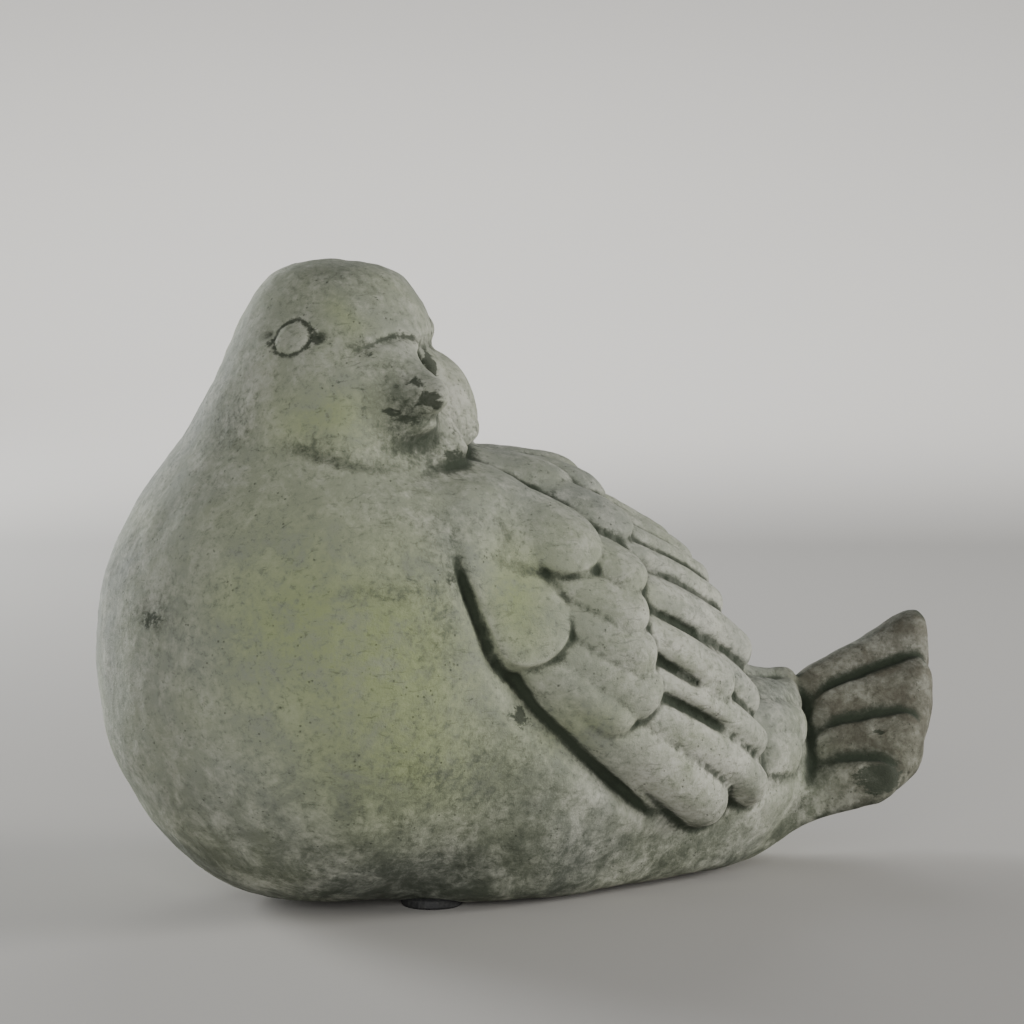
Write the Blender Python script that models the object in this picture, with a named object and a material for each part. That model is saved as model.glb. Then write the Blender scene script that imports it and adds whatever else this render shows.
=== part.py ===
# Cast cement garden bird: plump, resting, its head turned to look back over its left shoulder.
# The bird is one solid casting, and it stands on three small stick-on rubber pads.
# Metres, +Z up. The breast is towards -X, the tail towards +X, and the bird looks towards -Y.

import bpy
import bmesh
import numpy as np
from mathutils import Matrix

# Driving dimensions
BIRD_HEIGHT = 0.1306
PAD_DIAMETER = 0.0124
PAD_THICKNESS = 0.0022
PAD_EDGE_ROUND = 0.0004
SEAT_DEPTH = 0.0019
SEAT_CLEARANCE = 0.0003
STAND_OFF = PAD_THICKNESS + SEAT_CLEARANCE - SEAT_DEPTH

# The figure is drawn in shares of its height, this many from the underside to the crown
SHARES = 130.6
SHARE = BIRD_HEIGHT / SHARES

# Where the model's origin lies under the bird, and where the pads sit, in shares
ORIGIN_X = 6.15
PAD_PLACES = {"pad_near": (-27.0, -17.0), "pad_far": (-27.0, 17.0), "pad_tail_end": (30.0, 0.0)}

# How finely the clay is worked, and the triangles that the finished bird keeps
ROUGH_STEP = 2.0
ROUGH_PASSES = 6
CARVING_STEP = 1.1
FINE_PASSES = 3
SINK_STEPS = 34
BIRD_TRIANGLES = 8700
UNDERSIDE_CUT = 0.15
ROUND_SIDES = 28

# Head: its place, the way the beak points, and its lumps and eyes, in shares and degrees
HEAD_X = -39.5
FACE_YAW = -78.0
EYE_TURN = 60.6
EYE_HEIGHT = 115.3
EYE_RADII = (3.3, 3.0)
HEAD_RADIUS = 21.4
BROW_HEIGHT = 115.3
CHEEK_CENTRE = (7, 14.4, 97)
CHEEK_RADII = (16, 10.7, 16.2)
NECK_HOLLOW = 19.0
SKULL_CENTRE = (-0.3, -0.4, 105)
SKULL_RADII = (22.2, 22.0, 28.0)
BEAK_ROOT = ((15, -1.5, 103.6), (10.5, 10, 10.8))
BEAK_MIDDLE = ((23.5, -0.5, 103.6), (7.5, 5.6, 7.0))
BEAK_TIP = ((32, 0, 104.2), (3.0, 2.2, 2.3))
LOWER_BEAK = ((25.5, 0, 98.2), (5.0, 4.2, 2.0))

# Body: each lump's centre and its reach to the front, back, side, top and bottom
BREAST = ((-43, 0, 50), 46.5, 46, 48, 54.5, 52.3)
BELLY = ((-9, 0, 43), 44, 54, 46, 42, 55.5)
RUMP = ((24, 0, 26), 44, 45, 33.5, 20, 34)
SHOULDERS = ((-1.5, 0, 71.2), (19, 26, 19.8))

# Wing: an egg-shaped skin that leans back, drawn on by distance along it and around it
WING_CENTRE = (7.8, 0.0, 45.0)
WING_LEAN = 46.0
WING_RADII = (57.6, 47.2, 33.9)
WING_GIRTH = 42.0
WING_CROWN = 2.1
FEATHER_TILT = 0.4

# One feather: root and tip (along, around), half width, and lift at root and tip
SHOULDER = [
    (-64, 14, -36, 3, 15.5, -1.6, 0.9),
    (-56, 12, -40, 18.4, 8.5, -0.4, 1.2),
    (-47, 31, -33.5, 40, 9.0, -0.8, 1.0),
    (-48, 14, -25.5, 11, 9.8, 0.2, 2.9),
    (-52, 7, -32, 2.2, 7.6, -0.4, 1.3),
    (-43, -3.0, -21.5, -9.8, 7.8, -0.6, 2.7),
]
COVERTS = [
    (-38, 56, -26, 56, 6.8, -1.4, 1.0),
    (-40, 46, -23, 44, 6.8, -1.4, 1.2),
    (-38, 31, -19.5, 28, 8.0, -1.2, 2.4),
    (-32, 15, -14.4, 16.0, 5.4, -1.0, 2.1),
    (-30, 3.5, -10.4, 9, 4.7, -1.0, 2.0),
    (-26, -1.5, -3.8, 3.4, 4.7, -1.0, 2.0),
    (-22, -7, 2.2, -1.0, 4.8, -1.0, 2.1),
    (-27, -11.8, 1.5, -6.8, 4.2, -1.2, 1.4),
]
FLIGHT = [
    (-28, 46, 0, 58, 5.0, -2.2, 1.0),
    (-26, 39, 3, 49, 4.8, -2.2, 1.1),
    (-26, 30, 5.5, 41, 4.0, -2.2, 1.3),
    (-24, 22, 9.5, 35.5, 3.8, -2.4, 1.5),
    (-20, 14, 20.5, 31.6, 4.6, -2.6, 2.3),
    (-14, 7.0, 16.8, 15.4, 4.3, -2.6, 1.7),
    (6, 17, 28, 23, 4.4, -2.6, 1.2),
    (-8, -0.6, 34.5, 16.2, 3.7, -2.6, 1.5),
    (-8, -6.6, 42.5, 9.6, 4.4, -2.6, 1.6),
    (-15, -11.2, 36, -4.8, 5.6, -2.2, 1.2),
]

# Deep creases cut between feathers: start and end (along, around), depth and half width
CREASES = [
    (-8, 13, 4, 18, 1.2, 0.8),
    (-4.5, 5.2, 9, 8.4, 2.0, 1.0),
    (2.5, 1.0, 21, 7.2, 2.2, 1.1),
]

# The groove in front of the wing: its lowest point (along, around), and its two ends along
GROOVE_LOW = (-14.0, -17.9)
GROOVE_ENDS = (-50.0, 26.0)
GROOVE_DEPTH = 4.2

# Tail: a roof-shaped fan, with feather edges at these degrees to each side of its ridge
FAN_X = 30.0
FAN_LENGTH = 71.8
FAN_TURN = 29.0
FAN_FALL = 1.18
FEATHER_EDGES = (6.6, 14.8, 22.4)
FEATHER_ROLL = 2.0
TAIL_NOTCH = 1.2

# Coverts over the tail's root: root and tip in plan, height of each, and half width
RUMP_COVERTS = [
    ((50, 2, 43), (66, 0, 40.5), 4.6),
    ((51, 15, 38), (65.5, 5.5, 36.5), 4.6),
    ((49, 22, 33), (62, 14.5, 31), 4.2),
    ((46, 27, 27), (56, 21, 26), 4.4),
]


# Distance functions: negative inside the clay, in shares

def blend(a, b, soft):
    """The union of two distances, with a soft hollow between them."""
    h = np.clip(0.5 + 0.5 * (b - a) / soft, 0, 1)
    return b + (a - b) * h - soft * h * (1 - h)


def trim(a, b, soft):
    """What two distances share, with a soft edge."""
    return -blend(-a, -b, soft)


def turned(yaw, lean):
    """Axes of a frame that is turned about Z and then leans about its own Y, in degrees."""
    a = np.radians(yaw)
    b = np.radians(lean)
    about_z = np.array([[np.cos(a), -np.sin(a), 0], [np.sin(a), np.cos(a), 0], [0, 0, 1]])
    about_y = np.array([[np.cos(b), 0, np.sin(b)], [0, 1, 0], [-np.sin(b), 0, np.cos(b)]])
    return about_z @ about_y


def egg(p, centre, front, back, side, up, down):
    """A lump whose reach differs on each side of its centre."""
    q = p - np.array(centre)
    reach_x = np.where(q[:, 0] < 0, front, back)
    reach_z = np.where(q[:, 2] > 0, up, down)
    reach = np.stack([reach_x, np.full(len(q), float(side)), reach_z], axis=1)
    size = np.linalg.norm(q / reach, axis=1)
    slope = np.linalg.norm(q / reach ** 2, axis=1)
    return size * (size - 1) / np.maximum(slope, 1e-6)


def lump(p, centre, radii):
    """An ellipsoid."""
    return egg(p, centre, radii[0], radii[0], radii[1], radii[2], radii[2])


def face_frame(p):
    """Points seen from the head's own axis, +X the way the beak points."""
    return (p - np.array([HEAD_X, 0, 0])) @ turned(FACE_YAW, 0)


def skull(p):
    dome = lump(face_frame(p), SKULL_CENTRE, SKULL_RADII)
    return trim(dome, p[:, 2] - SHARES, 4.5)


def cheeks(p):
    q = face_frame(p)
    sides = np.stack([q[:, 0], np.abs(q[:, 1]), q[:, 2]], axis=1)
    return lump(sides, CHEEK_CENTRE, CHEEK_RADII)


def beak(p):
    q = face_frame(p)
    upper = blend(lump(q, *BEAK_ROOT), lump(q, *BEAK_MIDDLE), 5)
    upper = blend(upper, lump(q, *BEAK_TIP), 6)
    return blend(upper, lump(q, *LOWER_BEAK), 1.5)


def body(p):
    front = blend(egg(p, *BREAST), egg(p, *BELLY), 8)
    return blend(blend(front, egg(p, *RUMP), 10), lump(p, *SHOULDERS), 5)


def tail_top(p):
    """Height above the tail's roof."""
    ridge = 39.5 + (p[:, 0] - 70) * 0.42
    fall = FAN_FALL * (np.hypot(p[:, 1], 6) - 6)
    return p[:, 2] - ridge + fall


def fan(p):
    """Distance from the fan's centre, and degrees to the side of its ridge."""
    x = p[:, 0] - FAN_X
    y = np.abs(p[:, 1])
    return np.hypot(x, y), np.degrees(np.arctan2(y, x))


def tail(p):
    steep = np.hypot(1, FAN_FALL)
    top = tail_top(p) / steep
    thick = np.clip(13 - (p[:, 0] - 70) * 0.12, 8, 30)
    reach, turn = fan(p)
    share = np.clip(turn / FAN_TURN, 0, 2)
    notch = sum(np.exp(-np.abs((turn - edge) / 2.2) ** 1.5) for edge in FEATHER_EDGES)
    end = reach - (FAN_LENGTH - 19 * share ** 1.6 - TAIL_NOTCH * notch)
    side = np.radians(turn - FAN_TURN) * reach
    under = (5 + (p[:, 0] - 55) * 0.36 - p[:, 2]) / np.hypot(1, 0.36)
    d = trim(top, -top - thick, 3)
    d = trim(d, side, 3)
    d = trim(d, under, 4)
    return trim(d, end, 4)


def form(p):
    """The smooth clay before any carving."""
    near = 0.5 - 0.5 * np.tanh((face_frame(p)[:, 1] + 2) / 7)
    d = blend(body(p), skull(p), NECK_HOLLOW)
    d = blend(d, cheeks(p), 2.5 + 9 * near)
    d = blend(d, beak(p), 1 + 8 * near)
    d = blend(d, tail(p), 6)
    return trim(d, -p[:, 2], 4)


# Carving: depths and heights laid over the clay, in shares

def pillow(depth, half):
    """A rounded crown, 0 at a feather's edge and 1 on its middle line."""
    inward = np.clip(depth / half, 0, 1)
    return 1 - (1 - inward) ** 2.2


def feather(s, t, root, tip, half):
    """How deep each point lies inside a round-ended feather, how far along it, and to which side."""
    along = np.array(tip, float) - np.array(root, float)
    length = np.linalg.norm(along)
    u = ((s - root[0]) * along[0] + (t - root[1]) * along[1]) / length
    v = ((t - root[1]) * along[0] - (s - root[0]) * along[1]) / length
    beyond = u - np.clip(u, 0, length - half)
    return half - np.hypot(beyond, v), np.clip(u / length, 0, 1), np.clip(v / half, -1, 1)


def wing_frame(p):
    return (p - np.array(WING_CENTRE)) @ turned(0, WING_LEAN)


def wing_feathers(s, t):
    """Height of the feathers over the wing's skin."""
    height = np.full(len(s), -40.0)
    soft = 0.2 + 3.0 * np.clip((-35 - s) / 9, 0, 1)
    for s0, t0, s1, t1, half, low, high in SHOULDER + COVERTS + FLIGHT:
        depth, along, side = feather(s, t, (s0, t0), (s1, t1), half)
        crown = WING_CROWN if half < 12 else 2 * WING_CROWN
        lift = low + (high - low) * along - crown - FEATHER_TILT * side
        over = lift + np.where(depth > 0, crown * pillow(depth, half), 1.6 * depth)
        near = np.clip(1 - np.abs(over - height) / soft, 0, 1)
        height = np.maximum(height, over) + soft * near ** 2 / 4
    for s0, t0, s1, t1, deep, wide in CREASES:
        inside, along, _ = feather(s, t, (s0, t0), (s1, t1), wide)
        ends = 1 - np.abs(2 * along - 1) ** 3
        height -= deep * ends * np.exp(-((inside - wide) / wide) ** 2)
    return height


def face_carving(p):
    """Eyes with a groove around each, their corners, and the crease over the beak."""
    q = face_frame(p)
    turn = np.arctan2(q[:, 1], q[:, 0])
    height = np.zeros(len(p))
    for side in (-1, 1):
        x = (side * turn - np.radians(EYE_TURN)) * HEAD_RADIUS
        y = q[:, 2] - EYE_HEIGHT
        ring = np.hypot(x / EYE_RADII[0], y / EYE_RADII[1])
        height += 0.3 * np.clip(1 - ring ** 2, 0, 1)
        height -= 0.8 * np.exp(-((ring - 1.12) / 0.12) ** 2)
        corner = np.exp(-((y - 0.3) / 0.8) ** 2) * np.exp(-((np.abs(x) - 5.4) / 1.3) ** 2)
        height -= 0.7 * corner
    across = turn * (HEAD_RADIUS + 3)
    brow = q[:, 2] - (BROW_HEIGHT - 0.022 * across ** 2)
    height -= 1.3 * np.exp(-(brow / 0.7) ** 2) * np.exp(-(across / 11) ** 4)
    return height * np.clip((p[:, 2] - 92) / 4, 0, 1)


def neck_carving(p):
    """The hollow throat, the crease under the cheeks and the slit on the beak's far side."""
    q = face_frame(p)
    turn = np.degrees(np.arctan2(q[:, 1], q[:, 0]))
    throat = 2.2 * np.exp(-((turn - 2) / 18) ** 2 - ((q[:, 2] - 92.5) / 4.4) ** 2)
    off = q[:, 2] - (88.3 + 0.0021 * turn ** 2)
    depth = 2.3 + 1.6 * np.tanh((turn - 8) / 12)
    ends = np.clip((64 + turn) / 16, 0, 1) * np.clip((80 - turn) / 16, 0, 1)
    crease = depth * ends * np.exp(-(off / 2.4) ** 2)
    slit = 3.2 * np.exp(-((turn - 18) / 5) ** 2 - ((q[:, 2] - 107.5) / 5) ** 4)
    over_cheek = 1.6 * np.clip((turn - 16) / 12, 0, 1) * np.exp(-((q[:, 2] - 112.8) / 2.4) ** 2)
    return -(throat + crease + slit + over_cheek) * np.clip(q[:, 0] / 6, 0, 1)


def tail_carving(p):
    """The tail's rolled feathers, and the small coverts over its root."""
    reach, turn = fan(p)
    near_top = tail_top(p)
    grooves = np.zeros(len(p))
    for edge in FEATHER_EDGES:
        off = np.radians(turn - edge) * reach
        grooves -= FEATHER_ROLL * np.exp(-np.abs(off / 1.7) ** 1.5)
    grooves *= np.clip((near_top + 6) / 3, 0, 1) * np.clip((reach - 36) / 4, 0, 1)
    valley = 39.2 - 0.0021 * np.minimum(turn, 70) ** 2
    beside = np.clip((p[:, 2] - 16) / 6, 0, 1) * np.clip((72 - turn) / 14, 0, 1)
    root_groove = -2.4 * np.exp(-((reach - valley) / 2.4) ** 2) * beside * np.clip(turn / 9, 0.2, 1)
    sides = np.stack([p[:, 0], np.abs(p[:, 1]), p[:, 2]], axis=1)
    scales = np.full(len(p), -1.2)
    for root, tip, half in RUMP_COVERTS:
        depth = half - from_line(sides, root, tip)
        scales = np.maximum(scales, np.where(depth > 0, 1.6 * pillow(depth, half), 1.2 * depth))
    scales *= np.clip((p[:, 0] - 46) / 5, 0, 1) * beside * np.clip((valley + 1 - reach) / 2, 0, 1)
    return grooves + scales + root_groove


def from_line(p, start, end):
    """Distance from a straight line between two points."""
    start = np.array(start, float)
    along = np.array(end, float) - start
    share = np.clip((p - start) @ along / (along @ along), 0, 1)
    return np.linalg.norm(p - start - share[:, None] * along, axis=1)


def smooth_bird(p):
    """The clay with the wings' plain skins on it, before any carving."""
    d = form(p)
    q = wing_frame(p)
    skin = lump(q, (0, 0, 0), WING_RADII)
    return d + (blend(d, skin, 6) - d) * np.clip((q[:, 0] + 62) / 8, 0, 1)


def carved_bird(p):
    """The whole bird: clay, then face, wings and tail carved on it."""
    d = form(p) - face_carving(p) - neck_carving(p) - tail_carving(p)
    share = np.clip((wing_frame(p)[:, 0] + 62) / 8, 0, 1)
    near = np.flatnonzero(share)
    d[near] += (winged(p[near], d[near]) - d[near]) * share[near]
    return d


def front_groove(s, t):
    """Depth of the groove that the wing's front edge stands in."""
    bend = np.where(s < GROOVE_LOW[0], 0.0060, 0.001)
    below = GROOVE_LOW[1] + bend * (s - GROOVE_LOW[0]) ** 2 - t
    ends = np.clip((s - GROOVE_ENDS[0]) / 8, 0, 1) * np.clip((GROOVE_ENDS[1] - s) / 14, 0, 1)
    wide = 1.5 + 1.3 * np.exp(-((s - GROOVE_LOW[0] - 7) / 17) ** 2)
    return GROOVE_DEPTH * ends * np.exp(-(below / wide) ** 2)


def winged(p, d):
    """The clay at distance d with the wings laid on it, and a groove along their front edge."""
    q = wing_frame(p)
    around = np.arctan2(q[:, 2], np.abs(q[:, 1])) * WING_GIRTH
    skin = lump(q, (0, 0, 0), WING_RADII)
    wing = blend(d, skin, 6) - 1.0 - wing_feathers(q[:, 0], around)
    soft = 0.6 + 4.4 * np.clip((-38 - q[:, 0]) / 10, 0, 1)
    return blend(d + front_groove(q[:, 0], around), wing, soft)


# Modelling: lumps joined into one block of clay, then sunk to the carved form

def material(name, colour, roughness):
    made = bpy.data.materials.new(name)
    made.use_nodes = True
    shader = made.node_tree.nodes["Principled BSDF"]
    shader.inputs["Base Color"].default_value = (*colour, 1)
    shader.inputs["Roughness"].default_value = roughness
    shader.inputs["Metallic"].default_value = 0
    return made


def add_object(name, mesh):
    made = bpy.data.objects.new(name, mesh)
    bpy.context.scene.collection.objects.link(made)
    return made


def mesh_from(bm, name):
    mesh = bpy.data.meshes.new(name)
    bm.to_mesh(mesh)
    bm.free()
    return mesh


def evaluated(source, name):
    """The object's mesh as its modifiers leave it, and the object itself removed."""
    depsgraph = bpy.context.evaluated_depsgraph_get()
    mesh = bpy.data.meshes.new_from_object(source.evaluated_get(depsgraph))
    mesh.name = name
    bpy.data.objects.remove(source)
    return mesh


def ball(bm, centre, radii, frame=None):
    """One lump of clay."""
    place = (frame or Matrix()) @ Matrix.Translation(centre) @ Matrix.Diagonal((*radii, 1))
    bmesh.ops.create_icosphere(bm, subdivisions=4, radius=1, matrix=place)


def tail_slab(bm):
    """A slab of clay bent into the tail's roof shape."""
    made = bmesh.ops.create_grid(bm, x_segments=16, y_segments=24, size=1)
    faces = list({face for vert in made["verts"] for face in vert.link_faces})
    for vert in made["verts"]:
        reach = 26 + 20 * (vert.co.x + 1)
        turn = np.radians(FAN_TURN - 2) * vert.co.y
        vert.co = (FAN_X + reach * np.cos(turn), reach * np.sin(turn), 0)
        height = tail_top(np.array([vert.co]))[0]
        vert.co.z = -height - 1
    under = bmesh.ops.extrude_face_region(bm, geom=faces)
    lowered = [item for item in under["geom"] if isinstance(item, bmesh.types.BMVert)]
    bmesh.ops.translate(bm, verts=lowered, vec=(0, 0, -11))


def clay_block():
    """Every lump of clay, in shares."""
    face = Matrix.Translation((HEAD_X, 0, 0)) @ Matrix.Rotation(np.radians(FACE_YAW), 4, "Z")
    wings = Matrix.Translation(WING_CENTRE) @ Matrix.Rotation(np.radians(WING_LEAN), 4, "Y")
    bm = bmesh.new()
    for centre, front, back, side, up, down in (BREAST, BELLY, RUMP):
        ball(bm, centre, ((front + back) / 2, side, (up + down) / 2))
    ball(bm, *SHOULDERS)
    ball(bm, (HEAD_X, 0, 84), (27, 27, 22))
    ball(bm, SKULL_CENTRE, SKULL_RADII, face)
    for side in (-1, 1):
        ball(bm, (CHEEK_CENTRE[0], side * CHEEK_CENTRE[1], CHEEK_CENTRE[2]), CHEEK_RADII, face)
    for centre, radii in (BEAK_ROOT, BEAK_MIDDLE, BEAK_TIP, LOWER_BEAK):
        ball(bm, centre, radii, face)
    ball(bm, (0, 0, 0), WING_RADII, wings)
    tail_slab(bm)
    bmesh.ops.recalc_face_normals(bm, faces=bm.faces)
    return mesh_from(bm, "clay")


def kneaded(mesh, step):
    """The same clay as one even skin, with points this far apart."""
    clay = add_object("clay", mesh)
    remesh = clay.modifiers.new("one skin", "REMESH")
    remesh.mode = "VOXEL"
    remesh.voxel_size = step
    return evaluated(clay, "clay")


def mesh_points(mesh):
    points = np.empty(len(mesh.vertices) * 3)
    mesh.vertices.foreach_get("co", points)
    return points.reshape(-1, 3)


def slope_of(surface, p, height, step=0.05):
    """How the distance changes along each axis."""
    slope = np.empty_like(p)
    for axis in range(3):
        ahead = p.copy()
        ahead[:, axis] += step
        slope[:, axis] = (surface(ahead) - height) / step
    return slope


def press(mesh, surface, passes):
    """Every point moved along the slope until it lies on the surface."""
    points = mesh_points(mesh)
    for _ in range(passes):
        height = surface(points)
        slope = slope_of(surface, points, height)
        steep = np.maximum((slope ** 2).sum(axis=1), 0.3)
        move = np.clip(height / steep, -2.5, 2.5)
        points -= 0.8 * move[:, None] * slope
    mesh.vertices.foreach_set("co", points.ravel())
    mesh.update()


def sink(mesh, surface, outside=4.5, inside=8.0):
    """Every point sunk along its own normal, from outside, to where the surface first lies."""
    points = mesh_points(mesh)
    normal = slope_of(smooth_bird, points, smooth_bird(points))
    normal /= np.linalg.norm(normal, axis=1)[:, None]
    offset = np.full(len(points), outside)
    going = np.arange(len(points))
    for _ in range(SINK_STEPS):
        height = surface(points[going] + offset[going, None] * normal[going])
        offset[going] -= np.clip(0.55 * height, -0.3, 1.0)
        going = going[(np.abs(height) > 0.01) & (offset[going] > -inside)]
    points += offset[:, None] * normal
    mesh.vertices.foreach_set("co", points.ravel())
    mesh.update()


def thinned(mesh, triangles):
    """The same surface in about this many triangles."""
    mesh.calc_loop_triangles()
    dense = add_object("dense", mesh)
    fewer = dense.modifiers.new("fewer faces", "DECIMATE")
    fewer.ratio = triangles / len(mesh.loop_triangles)
    return evaluated(dense, "thinned")


def dress_underside(mesh):
    """A flat underside, cut a hair above the clay's lowest point."""
    bm = bmesh.new()
    bm.from_mesh(mesh)
    everything = bm.verts[:] + bm.edges[:] + bm.faces[:]
    bmesh.ops.bisect_plane(bm, geom=everything, plane_co=(0, 0, UNDERSIDE_CUT), plane_no=(0, 0, 1),
                           clear_inner=True)
    bmesh.ops.remove_doubles(bm, verts=bm.verts, dist=0.08)
    rim = [edge for edge in bm.edges if edge.is_boundary]
    bmesh.ops.holes_fill(bm, edges=rim, sides=0)
    bmesh.ops.recalc_face_normals(bm, faces=bm.faces)
    bm.to_mesh(mesh)
    bm.free()


def in_metres():
    """From shares to metres, with the origin under the bird and the pads' depth below it."""
    lift = STAND_OFF / SHARE - UNDERSIDE_CUT
    return Matrix.Scale(SHARE, 4) @ Matrix.Translation((-ORIGIN_X, 0, lift))


def pad_place(place):
    return (place[0] - ORIGIN_X) * SHARE, place[1] * SHARE


def disc(name, radius, bottom, height, place):
    bm = bmesh.new()
    bmesh.ops.create_cone(bm, cap_ends=True, segments=ROUND_SIDES, radius1=radius, radius2=radius,
                          depth=height)
    made = add_object(name, mesh_from(bm, name))
    made.location = (*pad_place(place), bottom + height / 2)
    return made


def seat_cutter(name, place):
    """What one pad's shallow seat takes out of the underside."""
    below = 0.002
    cutter = disc(name + "_seat", PAD_DIAMETER / 2 + SEAT_CLEARANCE, STAND_OFF - below,
                  below + SEAT_DEPTH, place)
    cutter.hide_render = True
    cutter.display_type = "WIRE"
    return cutter


def make_bird():
    clay = kneaded(clay_block(), ROUGH_STEP)
    press(clay, smooth_bird, ROUGH_PASSES)
    clay = kneaded(clay, CARVING_STEP)
    press(clay, smooth_bird, FINE_PASSES)
    sink(clay, carved_bird)
    bird_mesh = thinned(clay, BIRD_TRIANGLES)
    dress_underside(bird_mesh)
    bird_mesh.transform(in_metres())
    bird_mesh.name = "cement_bird"
    bird = add_object("cement_bird", bird_mesh)
    bird_mesh.materials.clear()
    bird_mesh.materials.append(material("weathered cement", (0.25, 0.29, 0.22), 0.95))
    bird_mesh.shade_smooth()
    bird_mesh.set_sharp_from_angle(angle=np.radians(50))
    for name, place in PAD_PLACES.items():
        seat = bird.modifiers.new("seat for " + name, "BOOLEAN")
        seat.operation = "DIFFERENCE"
        seat.object = seat_cutter(name, place)
    return bird


def make_pads():
    rubber = material("black rubber", (0.015, 0.015, 0.016), 0.75)
    for name, place in PAD_PLACES.items():
        pad = disc(name, PAD_DIAMETER / 2, 0, PAD_THICKNESS, place)
        pad.data.materials.append(rubber)
        rounded = pad.modifiers.new("soft edge", "BEVEL")
        rounded.width = PAD_EDGE_ROUND
        rounded.segments = 1
        rounded.limit_method = "ANGLE"
        pad.data.shade_smooth()
        pad.data.set_sharp_from_angle(angle=np.radians(40))


for old in list(bpy.data.objects):
    bpy.data.objects.remove(old)
make_bird()
make_pads()
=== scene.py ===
import bpy
import bmesh
import numpy as np
from mathutils import Matrix, Vector


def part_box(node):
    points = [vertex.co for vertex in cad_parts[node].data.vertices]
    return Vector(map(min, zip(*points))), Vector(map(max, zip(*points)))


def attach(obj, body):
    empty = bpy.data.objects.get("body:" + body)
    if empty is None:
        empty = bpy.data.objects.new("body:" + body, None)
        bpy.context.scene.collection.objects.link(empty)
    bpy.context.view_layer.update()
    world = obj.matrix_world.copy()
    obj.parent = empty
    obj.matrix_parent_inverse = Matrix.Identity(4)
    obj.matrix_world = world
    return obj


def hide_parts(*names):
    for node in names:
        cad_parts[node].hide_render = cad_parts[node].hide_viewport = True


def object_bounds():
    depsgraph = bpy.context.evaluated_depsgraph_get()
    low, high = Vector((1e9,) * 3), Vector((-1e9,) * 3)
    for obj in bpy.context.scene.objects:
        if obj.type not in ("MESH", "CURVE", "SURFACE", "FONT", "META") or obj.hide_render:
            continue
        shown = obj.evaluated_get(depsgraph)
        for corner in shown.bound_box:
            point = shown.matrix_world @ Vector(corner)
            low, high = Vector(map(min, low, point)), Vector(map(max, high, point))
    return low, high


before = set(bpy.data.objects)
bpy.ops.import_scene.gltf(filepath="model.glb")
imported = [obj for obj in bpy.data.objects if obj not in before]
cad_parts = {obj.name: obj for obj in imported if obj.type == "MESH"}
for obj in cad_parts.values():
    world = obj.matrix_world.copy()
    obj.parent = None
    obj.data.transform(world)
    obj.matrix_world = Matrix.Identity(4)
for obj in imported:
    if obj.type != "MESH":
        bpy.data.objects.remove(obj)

cad_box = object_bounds()


# The cement bird
# One solid casting in grey-green cement. The mould left its carving soft, with air holes, a
# chipped tail and rubbed edges, and years outdoors have washed grime into every hollow. Painted
# shade darkens the hollows and the underside, and a painted highlight lightens the edges.

BIRD_HEIGHT = 0.1306
SHARES = 130.6
SHARE = BIRD_HEIGHT / SHARES
ORIGIN_X = 6.15
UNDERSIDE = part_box("cement_bird")[0].z
UNDERSIDE_CUT = 0.15
SKIN_STEP = 0.72
SKIN_PASSES = 5
SKIN_TRIANGLES = 190000
SINK_STEPS = 34
EVEN_PASSES = 3

# Head: its place, the way the beak points, and its lumps and eyes, in shares and degrees
HEAD_X = -39.5
FACE_YAW = -78.0
EYE_TURN = 60.6
EYE_HEIGHT = 115.3
EYE_RADII = (3.3, 3.0)
EYE_RING = 1.12
HEAD_RADIUS = 21.4
BROW_HEIGHT = 115.3
BROW_BEND = 0.022
BROW_RADIUS = HEAD_RADIUS + 3
CHEEK_CENTRE = (7, 14.4, 97)
CHEEK_RADII = (16, 10.7, 16.2)
NECK_HOLLOW = 19.0
SKULL_CENTRE = (-0.3, -0.4, 105)
SKULL_RADII = (22.2, 22.0, 28.0)
BEAK_ROOT = ((15, -1.5, 103.6), (10.5, 10, 10.8))
BEAK_MIDDLE = ((23.5, -0.5, 103.6), (7.5, 5.6, 7.0))
BEAK_TIP = ((32, 0, 104.2), (3.0, 2.2, 2.3))
LOWER_BEAK = ((25.5, 0, 98.2), (5.0, 4.2, 2.0))

# Body: each lump's centre and its reach to the front, back, side, top and bottom
BREAST = ((-43, 0, 50), 46.5, 46, 48, 54.5, 52.3)
BELLY = ((-9, 0, 43), 44, 54, 46, 42, 55.5)
RUMP = ((24, 0, 26), 44, 45, 33.5, 20, 34)
SHOULDERS = ((-1.5, 0, 71.2), (19, 26, 19.8))

# Wing: an egg-shaped skin that leans back, drawn on by distance along it and around it
WING_CENTRE = (7.8, 0.0, 45.0)
WING_LEAN = 46.0
WING_RADII = (57.6, 47.2, 33.9)
WING_GIRTH = 42.0
WING_CROWN = 2.1
FEATHER_TILT = 0.4

# One feather: root and tip (along, around), half width, and lift at root and tip
SHOULDER = [
    (-64, 14, -36, 3, 15.5, -1.6, 0.9),
    (-56, 12, -40, 18.4, 8.5, -0.4, 1.2),
    (-47, 31, -33.5, 40, 9.0, -0.8, 1.0),
    (-48, 14, -25.5, 11, 9.8, 0.2, 2.9),
    (-52, 7, -32, 2.2, 7.6, -0.4, 1.3),
    (-43, -3.0, -21.5, -9.8, 7.8, -0.6, 2.7),
]
COVERTS = [
    (-38, 56, -26, 56, 6.8, -1.4, 1.0),
    (-40, 46, -23, 44, 6.8, -1.4, 1.2),
    (-38, 31, -19.5, 28, 8.0, -1.2, 2.4),
    (-32, 15, -14.4, 16.0, 5.4, -1.0, 2.1),
    (-30, 3.5, -10.4, 9, 4.7, -1.0, 2.0),
    (-26, -1.5, -3.8, 3.4, 4.7, -1.0, 2.0),
    (-22, -7, 2.2, -1.0, 4.8, -1.0, 2.1),
    (-27, -11.8, 1.5, -6.8, 4.2, -1.2, 1.4),
]
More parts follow.
